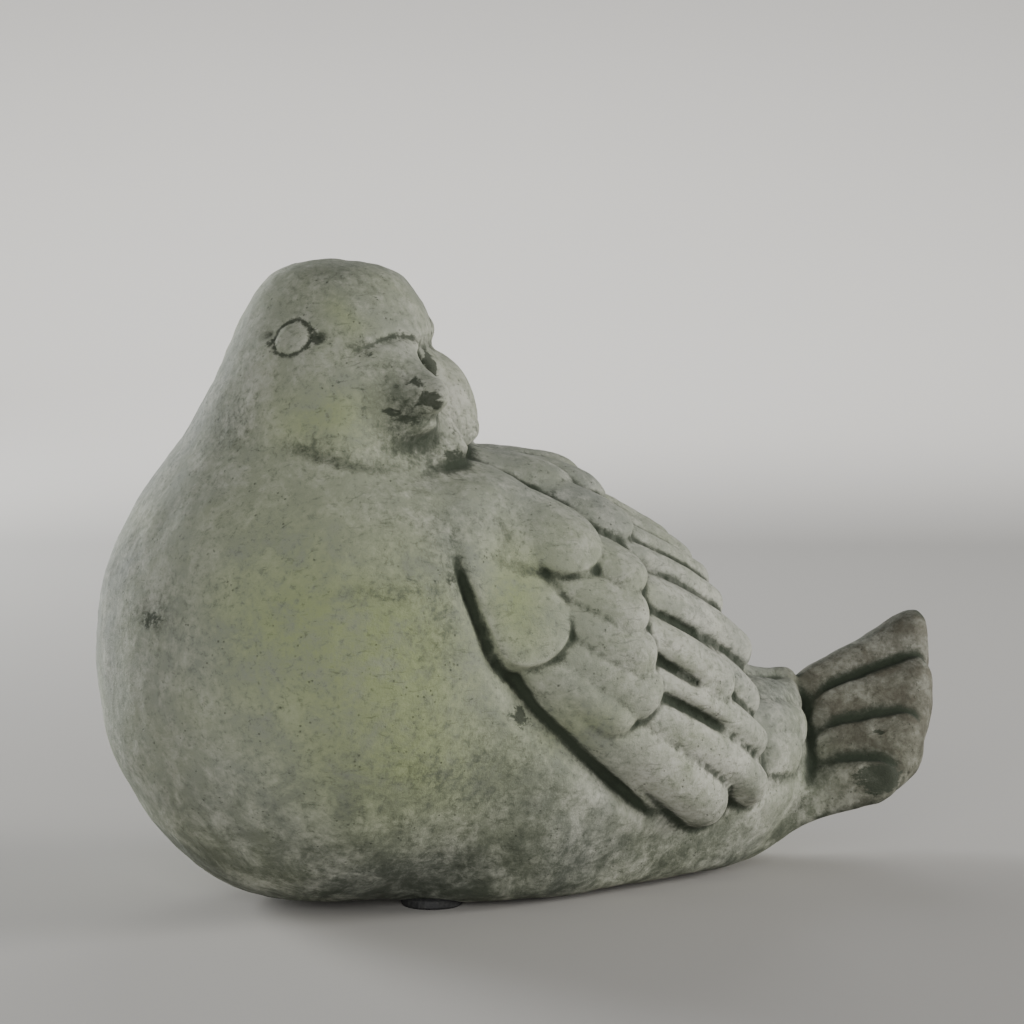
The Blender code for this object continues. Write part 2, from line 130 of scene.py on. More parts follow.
FLIGHT = [
    (-28, 46, 0, 58, 5.0, -2.2, 1.0),
    (-26, 39, 3, 49, 4.8, -2.2, 1.1),
    (-26, 30, 5.5, 41, 4.0, -2.2, 1.3),
    (-24, 22, 9.5, 35.5, 3.8, -2.4, 1.5),
    (-20, 14, 20.5, 31.6, 4.6, -2.6, 2.3),
    (-14, 7.0, 16.8, 15.4, 4.3, -2.6, 1.7),
    (6, 17, 28, 23, 4.4, -2.6, 1.2),
    (-8, -0.6, 34.5, 16.2, 3.7, -2.6, 1.5),
    (-8, -6.6, 42.5, 9.6, 4.4, -2.6, 1.6),
    (-15, -11.2, 36, -4.8, 5.6, -2.2, 1.2),
]

# Deep creases cut between feathers: start and end (along, around), depth and half width
CREASES = [
    (-8, 13, 4, 18, 1.2, 0.8),
    (-4.5, 5.2, 9, 8.4, 2.0, 1.0),
    (2.5, 1.0, 21, 7.2, 2.2, 1.1),
]

# The groove in front of the wing: its lowest point (along, around), and its two ends along
GROOVE_LOW = (-14.0, -17.9)
GROOVE_ENDS = (-50.0, 26.0)
GROOVE_DEPTH = 4.2

# Tail: a roof-shaped fan, with feather edges at these degrees to each side of its ridge
FAN_X = 30.0
FAN_LENGTH = 71.8
FAN_TURN = 29.0
FAN_FALL = 1.18
FEATHER_EDGES = (6.6, 14.8, 22.4)
FEATHER_ROLL = 2.0
TAIL_NOTCH = 1.2

# Coverts over the tail's root: root and tip in plan, height of each, and half width
RUMP_COVERTS = [
    ((50, 2, 43), (66, 0, 40.5), 4.6),
    ((51, 15, 38), (65.5, 5.5, 36.5), 4.6),
    ((49, 22, 33), (62, 14.5, 31), 4.2),
    ((46, 27, 27), (56, 21, 26), 4.4),
]


# Distance functions: negative inside the clay, in shares

def blend(a, b, soft):
    """The union of two distances, with a soft hollow between them."""
    h = np.clip(0.5 + 0.5 * (b - a) / soft, 0, 1)
    return b + (a - b) * h - soft * h * (1 - h)


def trim(a, b, soft):
    """What two distances share, with a soft edge."""
    return -blend(-a, -b, soft)


def turned(yaw, lean):
    """Axes of a frame that is turned about Z and then leans about its own Y, in degrees."""
    a = np.radians(yaw)
    b = np.radians(lean)
    about_z = np.array([[np.cos(a), -np.sin(a), 0], [np.sin(a), np.cos(a), 0], [0, 0, 1]])
    about_y = np.array([[np.cos(b), 0, np.sin(b)], [0, 1, 0], [-np.sin(b), 0, np.cos(b)]])
    return about_z @ about_y


def egg(p, centre, front, back, side, up, down):
    """A lump whose reach differs on each side of its centre."""
    q = p - np.array(centre)
    reach_x = np.where(q[:, 0] < 0, front, back)
    reach_z = np.where(q[:, 2] > 0, up, down)
    reach = np.stack([reach_x, np.full(len(q), float(side)), reach_z], axis=1)
    size = np.linalg.norm(q / reach, axis=1)
    slope = np.linalg.norm(q / reach ** 2, axis=1)
    return size * (size - 1) / np.maximum(slope, 1e-6)


def lump(p, centre, radii):
    """An ellipsoid."""
    return egg(p, centre, radii[0], radii[0], radii[1], radii[2], radii[2])


def face_frame(p):
    """Points seen from the head's own axis, +X the way the beak points."""
    return (p - np.array([HEAD_X, 0, 0])) @ turned(FACE_YAW, 0)


def skull(p):
    dome = lump(face_frame(p), SKULL_CENTRE, SKULL_RADII)
    return trim(dome, p[:, 2] - SHARES, 4.5)


def cheeks(p):
    q = face_frame(p)
    sides = np.stack([q[:, 0], np.abs(q[:, 1]), q[:, 2]], axis=1)
    return lump(sides, CHEEK_CENTRE, CHEEK_RADII)


def beak(p):
    q = face_frame(p)
    upper = blend(lump(q, *BEAK_ROOT), lump(q, *BEAK_MIDDLE), 5)
    upper = blend(upper, lump(q, *BEAK_TIP), 6)
    return blend(upper, lump(q, *LOWER_BEAK), 1.5)


def body(p):
    front = blend(egg(p, *BREAST), egg(p, *BELLY), 8)
    return blend(blend(front, egg(p, *RUMP), 10), lump(p, *SHOULDERS), 5)


def tail_top(p):
    """Height above the tail's roof."""
    ridge = 39.5 + (p[:, 0] - 70) * 0.42
    fall = FAN_FALL * (np.hypot(p[:, 1], 6) - 6)
    return p[:, 2] - ridge + fall


def fan(p):
    """Distance from the fan's centre, and degrees to the side of its ridge."""
    x = p[:, 0] - FAN_X
    y = np.abs(p[:, 1])
    return np.hypot(x, y), np.degrees(np.arctan2(y, x))


def tail(p):
    steep = np.hypot(1, FAN_FALL)
    top = tail_top(p) / steep
    thick = np.clip(13 - (p[:, 0] - 70) * 0.12, 8, 30)
    reach, turn = fan(p)
    share = np.clip(turn / FAN_TURN, 0, 2)
    notch = sum(np.exp(-np.abs((turn - edge) / 2.2) ** 1.5) for edge in FEATHER_EDGES)
    end = reach - (FAN_LENGTH - 19 * share ** 1.6 - TAIL_NOTCH * notch)
    side = np.radians(turn - FAN_TURN) * reach
    under = (5 + (p[:, 0] - 55) * 0.36 - p[:, 2]) / np.hypot(1, 0.36)
    d = trim(top, -top - thick, 3)
    d = trim(d, side, 3)
    d = trim(d, under, 4)
    return trim(d, end, 4)


def form(p):
    """The smooth clay before any carving."""
    near = 0.5 - 0.5 * np.tanh((face_frame(p)[:, 1] + 2) / 7)
    d = blend(body(p), skull(p), NECK_HOLLOW)
    d = blend(d, cheeks(p), 2.5 + 9 * near)
    d = blend(d, beak(p), 1 + 8 * near)
    d = blend(d, tail(p), 6)
    return trim(d, -p[:, 2], 4)


# Carving: depths and heights laid over the clay, in shares

def pillow(depth, half):
    """A rounded crown, 0 at a feather's edge and 1 on its middle line."""
    inward = np.clip(depth / half, 0, 1)
    return 1 - (1 - inward) ** 2.2


def feather(s, t, root, tip, half):
    """How deep each point lies in a round-ended feather, how far along it, and to which side."""
    along = np.array(tip, float) - np.array(root, float)
    length = np.linalg.norm(along)
    u = ((s - root[0]) * along[0] + (t - root[1]) * along[1]) / length
    v = ((t - root[1]) * along[0] - (s - root[0]) * along[1]) / length
    beyond = u - np.clip(u, 0, length - half)
    return half - np.hypot(beyond, v), np.clip(u / length, 0, 1), np.clip(v / half, -1, 1)


def wing_frame(p):
    return (p - np.array(WING_CENTRE)) @ turned(0, WING_LEAN)


def wing_feathers(s, t):
    """Height of the feathers over the wing's skin."""
    height = np.full(len(s), -40.0)
    soft = 0.2 + 3.0 * np.clip((-35 - s) / 9, 0, 1)
    for s0, t0, s1, t1, half, low, high in SHOULDER + COVERTS + FLIGHT:
        depth, along, side = feather(s, t, (s0, t0), (s1, t1), half)
        crown = WING_CROWN if half < 12 else 2 * WING_CROWN
        lift = low + (high - low) * along - crown - FEATHER_TILT * side
        over = lift + np.where(depth > 0, crown * pillow(depth, half), 1.6 * depth)
        near = np.clip(1 - np.abs(over - height) / soft, 0, 1)
        height = np.maximum(height, over) + soft * near ** 2 / 4
    for s0, t0, s1, t1, deep, wide in CREASES:
        inside, along, _ = feather(s, t, (s0, t0), (s1, t1), wide)
        ends = 1 - np.abs(2 * along - 1) ** 3
        height -= deep * ends * np.exp(-((inside - wide) / wide) ** 2)
    return height


def face_carving(p):
    """Eyes with a groove around each, their corners, and the crease over the beak."""
    q = face_frame(p)
    turn = np.arctan2(q[:, 1], q[:, 0])
    height = np.zeros(len(p))
    for side in (-1, 1):
        x = (side * turn - np.radians(EYE_TURN)) * HEAD_RADIUS
        y = q[:, 2] - EYE_HEIGHT
        ring = np.hypot(x / EYE_RADII[0], y / EYE_RADII[1])
        height += 0.3 * np.clip(1 - ring ** 2, 0, 1)
        height -= 0.8 * np.exp(-((ring - EYE_RING) / 0.12) ** 2)
        corner = np.exp(-((y - 0.3) / 0.8) ** 2) * np.exp(-((np.abs(x) - 5.4) / 1.3) ** 2)
        height -= 0.7 * corner
    across = turn * BROW_RADIUS
    brow = q[:, 2] - (BROW_HEIGHT - BROW_BEND * across ** 2)
    height -= 1.3 * np.exp(-(brow / 0.7) ** 2) * np.exp(-(across / 11) ** 4)
    return height * np.clip((p[:, 2] - 92) / 4, 0, 1)


def neck_carving(p):
    """The hollow throat, the crease under the cheeks and the slit on the beak's far side."""
    q = face_frame(p)
    turn = np.degrees(np.arctan2(q[:, 1], q[:, 0]))
    throat = 2.2 * np.exp(-((turn - 2) / 18) ** 2 - ((q[:, 2] - 92.5) / 4.4) ** 2)
    off = q[:, 2] - (88.3 + 0.0021 * turn ** 2)
    depth = 2.3 + 1.6 * np.tanh((turn - 8) / 12)
    ends = np.clip((64 + turn) / 16, 0, 1) * np.clip((80 - turn) / 16, 0, 1)
    crease = depth * ends * np.exp(-(off / 2.4) ** 2)
    slit = 3.2 * np.exp(-((turn - 18) / 5) ** 2 - ((q[:, 2] - 107.5) / 5) ** 4)
    over_cheek = 1.6 * np.clip((turn - 16) / 12, 0, 1) * np.exp(-((q[:, 2] - 112.8) / 2.4) ** 2)
    return -(throat + crease + slit + over_cheek) * np.clip(q[:, 0] / 6, 0, 1)


def tail_carving(p):
    """The tail's rolled feathers, and the small coverts over its root."""
    reach, turn = fan(p)
    near_top = tail_top(p)
    grooves = np.zeros(len(p))
    for edge in FEATHER_EDGES:
        off = np.radians(turn - edge) * reach
        grooves -= FEATHER_ROLL * np.exp(-np.abs(off / 1.7) ** 1.5)
    grooves *= np.clip((near_top + 6) / 3, 0, 1) * np.clip((reach - 36) / 4, 0, 1)
    valley = 39.2 - 0.0021 * np.minimum(turn, 70) ** 2
    beside = np.clip((p[:, 2] - 16) / 6, 0, 1) * np.clip((72 - turn) / 14, 0, 1)
    root_groove = -2.4 * np.exp(-((reach - valley) / 2.4) ** 2) * beside * np.clip(turn / 9, 0.2, 1)
    sides = np.stack([p[:, 0], np.abs(p[:, 1]), p[:, 2]], axis=1)
    scales = np.full(len(p), -1.2)
    for root, tip, half in RUMP_COVERTS:
        depth = half - from_line(sides, root, tip)
        scales = np.maximum(scales, np.where(depth > 0, 1.6 * pillow(depth, half), 1.2 * depth))
    scales *= np.clip((p[:, 0] - 46) / 5, 0, 1) * beside * np.clip((valley + 1 - reach) / 2, 0, 1)
    return grooves + scales + root_groove


def from_line(p, start, end):
    """Distance from a straight line between two points."""
    start = np.array(start, float)
    along = np.array(end, float) - start
    share = np.clip((p - start) @ along / (along @ along), 0, 1)
    return np.linalg.norm(p - start - share[:, None] * along, axis=1)


def smooth_bird(p):
    """The clay with the wings' plain skins on it, before any carving."""
    d = form(p)
    q = wing_frame(p)
    skin = lump(q, (0, 0, 0), WING_RADII)
    return d + (blend(d, skin, 6) - d) * np.clip((q[:, 0] + 62) / 8, 0, 1)


def carved_bird(p):
    """The whole bird: clay, then face, wings and tail carved on it."""
    d = form(p) - face_carving(p) - neck_carving(p) - tail_carving(p)
    share = np.clip((wing_frame(p)[:, 0] + 62) / 8, 0, 1)
    near = np.flatnonzero(share)
    d[near] += (winged(p[near], d[near]) - d[near]) * share[near]
    return d


def front_groove(s, t):
    """Depth of the groove that the wing's front edge stands in."""
    bend = np.where(s < GROOVE_LOW[0], 0.0060, 0.001)
    below = GROOVE_LOW[1] + bend * (s - GROOVE_LOW[0]) ** 2 - t
    ends = np.clip((s - GROOVE_ENDS[0]) / 8, 0, 1) * np.clip((GROOVE_ENDS[1] - s) / 14, 0, 1)
    wide = 1.5 + 1.3 * np.exp(-((s - GROOVE_LOW[0] - 7) / 17) ** 2)
    return GROOVE_DEPTH * ends * np.exp(-(below / wide) ** 2)


def winged(p, d):
    """The clay at distance d with the wings laid on it, and a groove along their front edge."""
    q = wing_frame(p)
    around = np.arctan2(q[:, 2], np.abs(q[:, 1])) * WING_GIRTH
    skin = lump(q, (0, 0, 0), WING_RADII)
    wing = blend(d, skin, 6) - 1.0 - wing_feathers(q[:, 0], around)
    soft = 0.6 + 4.4 * np.clip((-38 - q[:, 0]) / 10, 0, 1)
    return blend(d + front_groove(q[:, 0], around), wing, soft)


# Finer marks of the casting, laid on the carved form

def clay_noise(p, size, seed):
    """Smooth lumps of about this size, between -1 and 1."""
    cells = 48
    table = np.random.default_rng(seed).uniform(-1, 1, (cells, cells, cells))
    q = p / size + 100
    low = np.floor(q).astype(int)
    part = q - low
    part = part * part * (3 - 2 * part)
    total = np.zeros(len(p))
    for dx in (0, 1):
        for dy in (0, 1):
            for dz in (0, 1):
                corner = np.array([dx, dy, dz])
                weight = np.prod(np.where(corner == 1, part, 1 - part), axis=1)
                i, j, k = ((low + corner) % cells).T
                total += table[i, j, k] * weight
    return total


def blot(p, centre, radii):
    """1 at a place, falling to 0 at about its radii."""
    q = (p - np.array(centre)) / np.array(radii)
    return np.exp(-(q ** 2).sum(axis=1) * 1.5)


def rough_skin(p):
    """Hand-worked unevenness of the cement: broad dents, then finer lumps."""
    broad = 0.28 * clay_noise(p, 11, 1) + 0.16 * clay_noise(p, 4.5, 2)
    fine = 0.09 * clay_noise(p, 1.9, 3)
    return broad + fine - 0.3


# Air holes and chips: centre and radius in shares, and depth
PITS = [
    ((79.4, -17.8, 27.8), 0.9, 1.2),
    ((-29.5, -20.5, 112.5), 0.5, 0.5),
    ((-34.5, -19.5, 118.5), 0.5, 0.5),
    ((-41, -19, 123), 0.6, 0.6),
    ((-25, -24, 97), 0.6, 0.6),
    ((-56.5, -31, 89.5), 0.6, 0.6),
    ((75.8, -23.8, 18.2), 3.6, 1.6),
    ((72.8, -23.0, 17.0), 2.4, 1.0),
    ((6, -47, 50.8), 2.0, 0.7),
]


def weathered_bird(p):
    pitted = sum(deep * blot(p, centre, (wide, wide, wide)) for centre, wide, deep in PITS)
    return carved_bird(p) - rough_skin(p) + pitted


def bird_skin():
    """The solid's own skin, merged and turned into shares, and the way back to metres."""
    bm = bmesh.new()
    bm.from_mesh(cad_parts["cement_bird"].data)
    bmesh.ops.remove_doubles(bm, verts=bm.verts, dist=0.00001)
    lift = UNDERSIDE / SHARE - UNDERSIDE_CUT
    to_shares = Matrix.Translation((ORIGIN_X, 0, -lift)) @ Matrix.Scale(1 / SHARE, 4)
    bm.transform(to_shares)
    mesh = bpy.data.meshes.new("bird_skin")
    bm.to_mesh(mesh)
    bm.free()
    return mesh, to_shares.inverted()


def linked(name, data):
    """A new object in the scene."""
    made = bpy.data.objects.new(name, data)
    bpy.context.scene.collection.objects.link(made)
    return made


def with_modifier(mesh, kind, **settings):
    """The mesh as one modifier leaves it."""
    holder = linked("holder", mesh)
    modifier = holder.modifiers.new(kind, kind)
    for name, value in settings.items():
        setattr(modifier, name, value)
    depsgraph = bpy.context.evaluated_depsgraph_get()
    made = bpy.data.meshes.new_from_object(holder.evaluated_get(depsgraph))
    bpy.data.objects.remove(holder)
    return made


def mesh_points(mesh):
    points = np.empty(len(mesh.vertices) * 3)
    mesh.vertices.foreach_get("co", points)
    return points.reshape(-1, 3)


def slope_of(surface, p, height, step=0.05):
    """How the distance changes along each axis."""
    slope = np.empty_like(p)
    for axis in range(3):
        ahead = p.copy()
        ahead[:, axis] += step
        slope[:, axis] = (surface(ahead) - height) / step
    return slope


def press(mesh, surface, passes, reach=1.5):
    """Every point moved along the slope until it lies on the surface."""
    points = mesh_points(mesh)
    for _ in range(passes):
        height = surface(points)
        slope = slope_of(surface, points, height)
        steep = np.maximum((slope ** 2).sum(axis=1), 0.3)
        move = np.clip(height / steep, -reach, reach)
        points -= 0.8 * move[:, None] * slope
    mesh.vertices.foreach_set("co", points.ravel())
    mesh.update()


def carve_inwards(mesh, surface, outside=4.5, inside=8.0):
    """Every point sunk along its own normal, from outside, to where the surface first lies."""
    points = mesh_points(mesh)
    normal = slope_of(smooth_bird, points, smooth_bird(points))
    normal /= np.linalg.norm(normal, axis=1)[:, None]
    offset = np.full(len(points), outside)
    going = np.arange(len(points))
    for _ in range(SINK_STEPS):
        height = surface(points[going] + offset[going, None] * normal[going])
        offset[going] -= np.clip(0.55 * height, -0.3, 1.0)
        going = going[(np.abs(height) > 0.01) & (offset[going] > -inside)]
    points += offset[:, None] * normal
    mesh.vertices.foreach_set("co", points.ravel())
    mesh.update()


def keep(mesh, name, values):
    """A value for every point, which the material reads."""
    layer = mesh.attributes.new(name, "FLOAT", "POINT")
    layer.data.foreach_set("value", np.clip(values, 0, 1).astype(np.float32))


def evened(mesh, values, passes):
    """Each point's value averaged with its neighbours'."""
    ends = np.empty(len(mesh.edges) * 2, dtype=int)
    mesh.edges.foreach_get("vertices", ends)
    one, other = ends.reshape(-1, 2).T
    size = len(values)
    count = np.bincount(ends, minlength=size)
    for _ in range(passes):
        total = np.bincount(one, values[other], size) + np.bincount(other, values[one], size)
        values = 0.5 * values + 0.5 * total / np.maximum(count, 1)
    return values


def bowl(p, normal, here, reach):
    """How far the surface rises around each point: above 0 in a crease, below it on an edge."""
    side = np.cross(normal, (0.31, 0.52, 0.80))
    side /= np.linalg.norm(side, axis=1)[:, None]
    across = np.cross(normal, side)
    total = np.zeros(len(p))
    for turn in np.radians(range(0, 360, 60)):
        total += here - carved_bird(p + reach * (np.cos(turn) * side + np.sin(turn) * across))
    return total / (6 * reach)


def hollow_and_ridge(p, normal):
    """How far each point lies in a hollow, and how far it stands proud."""
    here = carved_bird(p)
    hollow = np.zeros(len(p))
    for reach, weight in ((0.8, 0.30), (1.7, 0.35), (3.4, 0.35)):
        clear = (carved_bird(p + normal * reach) - here) / reach
        hollow += weight * np.clip(1 - clear, 0, 1.6)
    close = bowl(p, normal, here, 1.1)
    wide = bowl(p, normal, here, 2.6)
    hollow = 0.6 * hollow + 0.9 * np.clip(close, 0, 1) + 0.7 * np.clip(wide, 0, 1)
    return hollow, np.clip(-1.5 * close - wide - 0.1, 0, 1)


def soften_creases(mesh, points, hollow):
    """Points in the hollows drawn towards their neighbours, so that narrow creases run clean."""
    smoothed = [evened(mesh, points[:, axis], EVEN_PASSES) for axis in range(3)]
    points += np.clip(2 * hollow, 0, 1)[:, None] * (np.stack(smoothed, axis=1) - points)
    mesh.vertices.foreach_set("co", points.ravel())


def make_bird():
    """A fine skin pressed onto the carved form, with the places of stains, painted light and
    painted shade kept on its points.
    """
    skin, to_metres = bird_skin()
    skin = with_modifier(skin, "REMESH", mode="VOXEL", voxel_size=SKIN_STEP * 2)
    press(skin, smooth_bird, 6, reach=3)
    skin = with_modifier(skin, "REMESH", mode="VOXEL", voxel_size=SKIN_STEP)
    press(skin, smooth_bird, 3)
    carve_inwards(skin, carved_bird)
    skin = with_modifier(skin, "REMESH", mode="VOXEL", voxel_size=SKIN_STEP)
    press(skin, weathered_bird, SKIN_PASSES)
    skin.calc_loop_triangles()
    skin = with_modifier(skin, "DECIMATE", ratio=SKIN_TRIANGLES / len(skin.loop_triangles))
    points = mesh_points(skin)
    height = weathered_bird(points)
    normal = slope_of(weathered_bird, points, height)
    normal /= np.maximum(np.linalg.norm(normal, axis=1), 1e-6)[:, None]
    hollow, ridge = hollow_and_ridge(points, normal)
    hollow = evened(skin, hollow * (1 - 0.8 * face_lines(skin, points)), EVEN_PASSES)
    keep(skin, "hollow", hollow)
    keep(skin, "ridge", evened(skin, ridge, 1))
    stains_and_painted_light(skin, points)
    soften_creases(skin, points, hollow)
    skin.transform(to_metres)
    skin.shade_smooth()
    skin.name = "cast_bird"
    return linked("cast_bird", skin)


# Places of the stains and of painted light and shade: centre and radii in shares, and strength
OLIVE_PATCHES = [
    ((-48, -47, 56), (25, 15, 26), 0.9),
    ((-54, -28, 100), (14, 10, 8), 0.9),
    ((-20, -42, 64), (9, 9, 14), 0.9),
    ((-46, -18, 118), (4, 6, 8), 0.7),
    ((-68, -36, 62), (20, 18, 28), 0.8),
    ((-6, -46, 38), (12, 8, 8), 0.6),
    ((-44, -46, 30), (30, 18, 16), 0.7),
]
# Painted light: pale patches on the lower wing feathers, the flank, towards the tail and on the far
# cheek
PAINTED_LIGHT_PATCHES = [
    ((20, -40, 44), (28, 16, 22), 1.0),
    ((22, -30, 60), (20, 18, 14), 0.8),
    ((20, -42, 24), (20, 14, 12), 1.0),
    ((47, -28, 16), (15, 14, 11), 0.9),
    ((-22, -20, 100), (9, 9, 12), 1.0),
]
# Dark smudges of dirt, and painted shade: on the crown, under the bird, in the creases under the
# cheeks and at the throat, in the groove at the tail's root, in the tail's chip and an air hole
SMUDGES_AND_SHADE = [
    ((-42, -16, 128), (14, 13, 9), 0.35),
    ((-42, -45, 30), (29, 20, 14), 0.42),
    ((-20, -48, 30), (20, 12, 16), 0.35),
    ((-38, -34, 10), (46, 26, 13), 0.60),
    ((22, -36, 10), (40, 20, 9), 0.40),
    ((-40, -46, 60), (10, 10, 20), 0.48),
    ((-38, -40, 80), (14, 10, 10), 0.38),
    ((-50, -45, 67.5), (13, 9, 2.2), 0.50),
    ((57, -12, 42), (13, 13, 12), 0.75),
    ((-86, -14, 61), (5, 8, 7), 0.6),
    ((-86, 4, 71), (5, 7, 7), 0.4),
    ((-86, 4, 30), (6, 9, 9), 0.5),
    ((-68, -12, 97), (7, 7, 7), 0.5),
    ((-58, -28, 93.5), (7, 5, 1.8), 0.8),
    ((-36, -29, 92), (5, 8, 6), 0.8),
    ((-26, -27, 91), (7, 6, 3), 0.8),
    ((-37, -32, 102.5), (4, 5, 4), 0.35),
    ((-44.3, -24, 112.6), (3.0, 4, 2.6), 0.6),
    ((74, -24, 18.4), (8, 5, 5), 0.6),
    ((-35, -44, 70), (2.5, 3, 4), 0.8),
    ((6, -47, 50.8), (3, 3, 3), 0.7),
]

# Crisp dark marks: crumbly cement on the beak, and painted shade in the air holes, the chip in the
# tail, the eye's corners, the slit beside the beak and under the far cheek
DARK_MARKS = [
    ((76.2, -23.8, 18.4), (6.3, 6, 3.6), 1.6),
    ((79.4, -17.8, 27.8), (1.3, 1.3, 1.3), 2.6),
    ((-35.2, -32.8, 103.6), (3.8, 4, 2.6), 1.10),
    ((-38.6, -29.8, 99.6), (3.8, 4, 1.8), 0.92),
    ((-36.6, -30.0, 107.2), (2.2, 3, 1.4), 0.90),
    ((-41.4, -29.4, 101.4), (2.6, 3, 1.6), 0.72),
    ((-26.9, -17.3, 109.9), (1.6, 4, 3.6), 1.5),
    ((-26.0, -26.2, 91.9), (5.0, 4, 2.4), 0.8),
    ((-52.3, -18.7, 115.4), (1.5, 3, 2.6), 1.0),
    ((-59.7, -12.0, 114.6), (1.4, 3, 1.1), 0.8),
    ((-44.0, -24.0, 112.4), (3.4, 4, 1.8), 0.5),
    ((-20.6, -43.8, 41.0), (2.8, 4, 2.8), 1.1),
    ((-86.5, -14.0, 60.8), (3.5, 4, 3.0), 0.7),
    ((-39.0, -17.0, 122.7), (0.9, 0.9, 0.9), 1.4),
    ((-24.8, -23.5, 95.9), (0.9, 0.9, 0.9), 1.4),
]

# Shares between 0 and 1 of a distance that is kept on the mesh
LINE_SPAN = 20.0


def face_lines(mesh, p):
    """Keeps each point's distance from the eye rings and the brow; 1 on either line, 0 away."""
    q = face_frame(p)
    turn = np.arctan2(q[:, 1], q[:, 0])
    x = (np.abs(turn) - np.radians(EYE_TURN)) * HEAD_RADIUS
    ring = np.hypot(x / EYE_RADII[0], (q[:, 2] - EYE_HEIGHT) / EYE_RADII[1])
    ring = (ring - EYE_RING) * EYE_RADII[0]
    across = turn * BROW_RADIUS
    brow = q[:, 2] - (BROW_HEIGHT - BROW_BEND * across ** 2)
    facing = np.exp(-(across / 10.5) ** 4) * (q[:, 0] > 0)
    keep(mesh, "ring", 0.5 + ring / LINE_SPAN)
    keep(mesh, "brow", 0.5 + brow / LINE_SPAN)
    keep(mesh, "facing", facing)
    return np.maximum(np.exp(-(ring / 1.3) ** 2), facing * np.exp(-(brow / 1.3) ** 2))


def shifted(p, far, size, seeds):
    """Points moved about by smooth noise, which gives a patch a wandering edge."""
    return p + far * np.stack([clay_noise(p, size, seed) for seed in seeds], axis=1)


def patched(p, patches):
    """The strength of all patches of one kind at each point."""
    return sum(share * blot(p, centre, radii) for centre, radii, share in patches)


def stains_and_painted_light(mesh, p):
    """Olive algae, dark smudges partly painted shade, painted light on pale patches, painted shade
    below, and the browner tail, each where the bird shows it.
    """
    warped = shifted(p, 2.2, 7, (11, 12, 13))
    ragged = shifted(p, 0.8, 2.2, (14, 15, 16))
    # Painted light, from the pale patches
    pale = patched(warped, PAINTED_LIGHT_PATCHES)
    keep(mesh, "olive", patched(warped, OLIVE_PATCHES))
    keep(mesh, "smudge_and_shade", patched(warped, SMUDGES_AND_SHADE) * (0.75 + 0.5 * clay_noise(p, 1.6, 21)))
    keep(mesh, "mark", patched(ragged, DARK_MARKS))
    keep(mesh, "pale", pale)
    keep(mesh, "tailward", (p[:, 0] - 62) / 10)
    # Painted shade: darker towards the bottom, less where the pale patches of painted light lie
    keep(mesh, "shade_below", (34 - p[:, 2]) / 30 * (1 - 0.85 * np.clip(pale, 0, 1)))


def feed(tree, socket, value):
    """A shader socket linked to another's output, or set to a plain value."""
    if isinstance(value, bpy.types.NodeSocket):
        tree.links.new(value, socket)
    else:
        socket.default_value = value


def node(tree, kind, inputs=None, **settings):
    """A shader node with its inputs set or linked."""
    made = tree.nodes.new(kind)
    for name, value in settings.items():
        setattr(made, name, value)
    for name, value in (inputs or {}).items():
        feed(tree, made.inputs[name], value)
    return made


def noise(tree, place, scale, detail=4.0, roughness=0.55, distortion=0.0):
    made = node(tree, "ShaderNodeTexNoise", {
        "Vector": place, "Scale": scale, "Detail": detail,
        "Roughness": roughness, "Distortion": distortion})
    return made.outputs["Fac"]


def ramp(tree, value, low, high, bottom=0.0, top=1.0):
    """A value's stretch from low to high, spread from bottom to top."""
    made = node(tree, "ShaderNodeMapRange", {
        "Value": value, "From Min": low, "From Max": high, "To Min": bottom, "To Max": top})
    return made.outputs["Result"]


def maths(tree, operation, a, b=0.0):
    made = node(tree, "ShaderNodeMath", {0: a, 1: b}, operation=operation)
    return made.outputs["Value"]


def plus(tree, a, b):
    return maths(tree, "ADD", a, b)


def times(tree, a, b):
    return maths(tree, "MULTIPLY", a, b)


def tint(tree, share, under, over):
    """One colour laid over another by this share."""
    made = node(tree, "ShaderNodeMix", data_type="RGBA")
    for name, value in (("Factor_Float", share), ("A_Color", under), ("B_Color", over)):
        feed(tree, next(i for i in made.inputs if i.identifier == name), value)
    return next(o for o in made.outputs if o.identifier == "Result_Color")


def attribute(tree, name):
    return node(tree, "ShaderNodeAttribute", attribute_name=name).outputs["Fac"]


def grain_group():
    """Sandy grain and pinholes, for cement and other matt skins."""
    group = bpy.data.node_groups.new("sandy grain", "ShaderNodeTree")
    group.interface.new_socket("Place", in_out="INPUT", socket_type="NodeSocketVector")
    group.interface.new_socket("Grain", in_out="INPUT", socket_type="NodeSocketFloat")
    group.interface.new_socket("Height", in_out="OUTPUT", socket_type="NodeSocketFloat")
    group.interface.new_socket("Pinholes", in_out="OUTPUT", socket_type="NodeSocketFloat")
    enter = node(group, "NodeGroupInput")
    leave = node(group, "NodeGroupOutput")
    place = enter.outputs["Place"]
    fine = noise(group, place, enter.outputs["Grain"], 3.0, 0.65)
    coarse = noise(group, place, times(group, enter.outputs["Grain"], 0.27), 3.0, 0.6)
    holes = node(group, "ShaderNodeTexVoronoi", {
        "Vector": place, "Scale": times(group, enter.outputs["Grain"], 0.32)})
    near = ramp(group, holes.outputs["Distance"], 0.10, 0.24, 1.0, 0.0)
    sparse = noise(group, place, times(group, enter.outputs["Grain"], 0.11))
    some = ramp(group, sparse, 0.56, 0.62)
    pin = times(group, near, some)
    height = plus(group, times(group, fine, 0.35), times(group, coarse, 0.65))
    height = maths(group, "SUBTRACT", height, times(group, pin, 0.7))
    group.links.new(height, leave.inputs["Height"])
    group.links.new(pin, leave.inputs["Pinholes"])
    return group


def placed(tree, group, inputs):
    """A shared effect set into a material."""
    return node(tree, "ShaderNodeGroup", inputs, node_tree=group)


